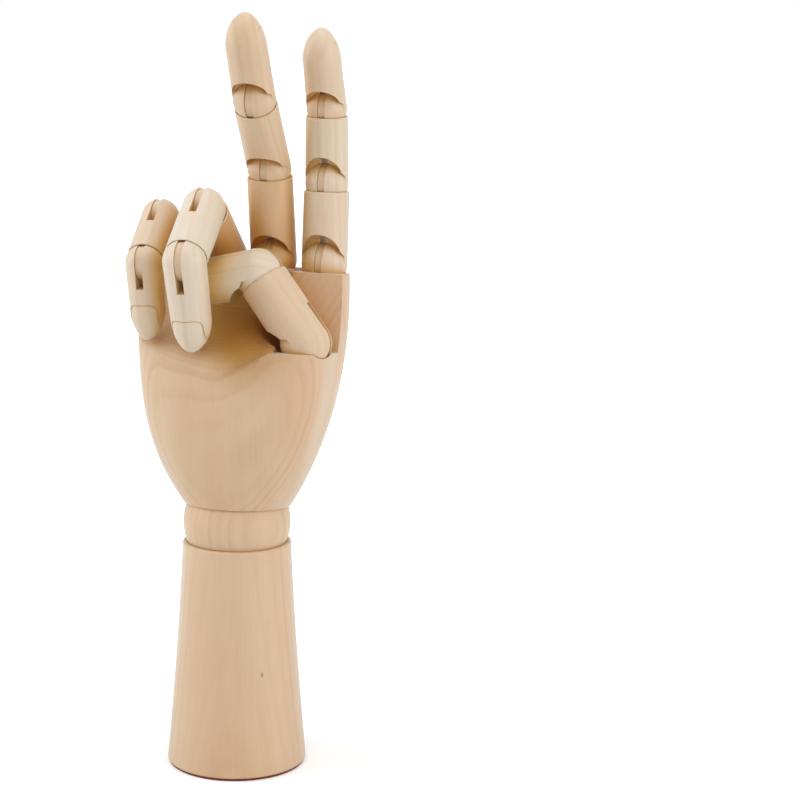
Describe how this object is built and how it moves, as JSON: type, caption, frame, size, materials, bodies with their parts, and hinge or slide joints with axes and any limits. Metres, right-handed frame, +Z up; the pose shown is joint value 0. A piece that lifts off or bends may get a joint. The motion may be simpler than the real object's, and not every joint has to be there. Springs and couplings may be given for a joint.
{
  "type": "wooden hand mannequin",
  "caption": "Jointed wooden artist's hand on a turned forearm stand: fingers, thumb and sprung ball wrist that can be posed and stay put.",
  "frame": {"origin": "centre of the base, on the surface that the hand stands on", "axes": "+Z up along the forearm, -Y the way the palm faces, +X towards the thumb"},
  "size_m": [0.0809, 0.069, 0.2947],
  "materials": {
    "pale_wood": "smooth sanded, clear matt",
    "tongue_wood": "plain sawn",
    "steel": "bright wire",
    "felt": "felt"
  },
  "bodies": {
    "forearm": {"forearm": "pale_wood", "base_pad": "felt"},
    "wrist_rod": {"tension_rod": "steel", "wrist_spring": "steel", "spring_washer": "steel", "rod_nut": "steel"},
    "wrist_ball": {"wrist_ball": "pale_wood"},
    "palm": {"palm": "pale_wood", "palm_eye": "steel", "index_knuckle_tongue": "tongue_wood", "middle_knuckle_tongue": "tongue_wood", "ring_knuckle_tongue": "tongue_wood", "little_knuckle_tongue": "tongue_wood", "thumb_knuckle_tongue": "tongue_wood"},
    "index_proximal": {"index_proximal": "pale_wood", "index_knuckle_pin": "tongue_wood", "index_middle_tongue": "tongue_wood"},
    "index_middle": {"index_middle": "pale_wood", "index_middle_pin": "tongue_wood", "index_tip_tongue": "tongue_wood"},
    "index_distal": {"index_distal": "pale_wood", "index_tip_pin": "tongue_wood"},
    "middle_proximal": {"middle_proximal": "pale_wood", "middle_knuckle_pin": "tongue_wood", "middle_middle_tongue": "tongue_wood"},
    "middle_middle": {"middle_middle": "pale_wood", "middle_middle_pin": "tongue_wood", "middle_tip_tongue": "tongue_wood"},
    "middle_distal": {"middle_distal": "pale_wood", "middle_tip_pin": "tongue_wood"},
    "ring_proximal": {"ring_proximal": "pale_wood", "ring_knuckle_pin": "tongue_wood", "ring_middle_tongue": "tongue_wood"},
    "ring_middle": {"ring_middle": "pale_wood", "ring_middle_pin": "tongue_wood", "ring_tip_tongue": "tongue_wood"},
    "ring_distal": {"ring_distal": "pale_wood", "ring_tip_pin": "tongue_wood"},
    "little_proximal": {"little_proximal": "pale_wood", "little_knuckle_pin": "tongue_wood", "little_middle_tongue": "tongue_wood"},
    "little_middle": {"little_middle": "pale_wood", "little_middle_pin": "tongue_wood", "little_tip_tongue": "tongue_wood"},
    "little_distal": {"little_distal": "pale_wood", "little_tip_pin": "tongue_wood"},
    "thumb_proximal": {"thumb_proximal": "pale_wood", "thumb_knuckle_pin": "tongue_wood", "thumb_tip_tongue": "tongue_wood"},
    "thumb_distal": {"thumb_distal": "pale_wood", "thumb_tip_pin": "tongue_wood"}
  },
  "joints": [
    {"name": "wrist_turn", "type": "hinge", "parent": "forearm", "child": "wrist_rod", "pos_m": [0, 0, 0.0978], "axis": [0, 0, 1], "continuous": true},
    {"name": "wrist_bend", "type": "hinge", "parent": "wrist_rod", "child": "wrist_ball", "pos_m": [0, 0, 0.0978], "axis": [1, 0, 0], "range_deg": [-16.5, 27.5]},
    {"name": "wrist_tilt", "type": "hinge", "parent": "wrist_ball", "child": "palm", "pos_m": [0, 0, 0.0978], "axis": [0, 0.9954, -0.0958], "range_deg": [-25, 25]},
    {"name": "index_knuckle", "type": "hinge", "parent": "palm", "child": "index_proximal", "pos_m": [0.031, 0.01276, 0.19904], "axis": [0.9999, -0.0015, -0.0156], "range_deg": [-14, 62]},
    {"name": "index_middle_joint", "type": "hinge", "parent": "index_proximal", "child": "index_middle", "pos_m": [0.03149, 0.01357, 0.23003], "axis": [-0.9999, 0.0015, 0.0156], "range_deg": [-82, 16]},
    {"name": "index_tip_joint", "type": "hinge", "parent": "index_middle", "child": "index_distal", "pos_m": [0.03193, 0.01134, 0.25844], "axis": [0.9999, -0.0015, -0.0156], "range_deg": [-27, 70]},
    {"name": "middle_knuckle", "type": "hinge", "parent": "palm", "child": "middle_proximal", "pos_m": [0.0104, 0.01284, 0.19984], "axis": [0.9998, 0.0174, -0.0017], "range_deg": [-25, 30]},
    {"name": "middle_middle_joint", "type": "hinge", "parent": "middle_proximal", "child": "middle_middle", "pos_m": [0.01056, 0.0069, 0.23534], "axis": [-0.9998, -0.0174, 0.0017], "range_deg": [-66, 34]},
    {"name": "middle_tip_joint", "type": "hinge", "parent": "middle_middle", "child": "middle_distal", "pos_m": [0.01092, -0.01104, 0.26245], "axis": [0.9998, 0.0174, -0.0017], "range_deg": [-2, 103]},
    {"name": "ring_knuckle", "type": "hinge", "parent": "palm", "child": "ring_proximal", "pos_m": [-0.01, 0.01289, 0.20034], "axis": [0.9988, 0.0381, 0.0314], "range_deg": [-64, 2]},
    {"name": "ring_middle_joint", "type": "hinge", "parent": "ring_proximal", "child": "ring_middle", "pos_m": [-0.00976, -0.00994, 0.22056], "axis": [-0.9988, -0.0381, -0.0314], "range_deg": [-2, 87]},
    {"name": "ring_tip_joint", "type": "hinge", "parent": "ring_middle", "child": "ring_distal", "pos_m": [-0.00834, -0.03353, 0.20376], "axis": [0.9988, 0.0381, 0.0314], "range_deg": [-78, 8]},
    {"name": "little_knuckle", "type": "hinge", "parent": "palm", "child": "little_proximal", "pos_m": [-0.0295, 0.01219, 0.19307], "axis": [0.998, 0.0398, 0.0487], "range_deg": [-50, 1.5]},
    {"name": "little_middle_joint", "type": "hinge", "parent": "little_proximal", "child": "little_middle", "pos_m": [-0.02999, -0.00338, 0.21574], "axis": [-0.998, -0.0398, -0.0487], "range_deg": [-1, 102]},
    {"name": "little_tip_joint", "type": "hinge", "parent": "little_middle", "child": "little_distal", "pos_m": [-0.02846, -0.02346, 0.20092], "axis": [0.998, 0.0398, 0.0487], "range_deg": [-67, 9]},
    {"name": "thumb_knuckle", "type": "hinge", "parent": "palm", "child": "thumb_proximal", "pos_m": [0.0325, -0.01343, 0.17223], "axis": [0.0175, 0.9952, -0.0958], "range_deg": [-7.5, 6]},
    {"name": "thumb_tip_joint", "type": "hinge", "parent": "thumb_proximal", "child": "thumb_distal", "pos_m": [0.01262, -0.01064, 0.19753], "axis": [-0.0175, -0.9952, 0.0958], "range_deg": [-10, 16]}
  ]
}
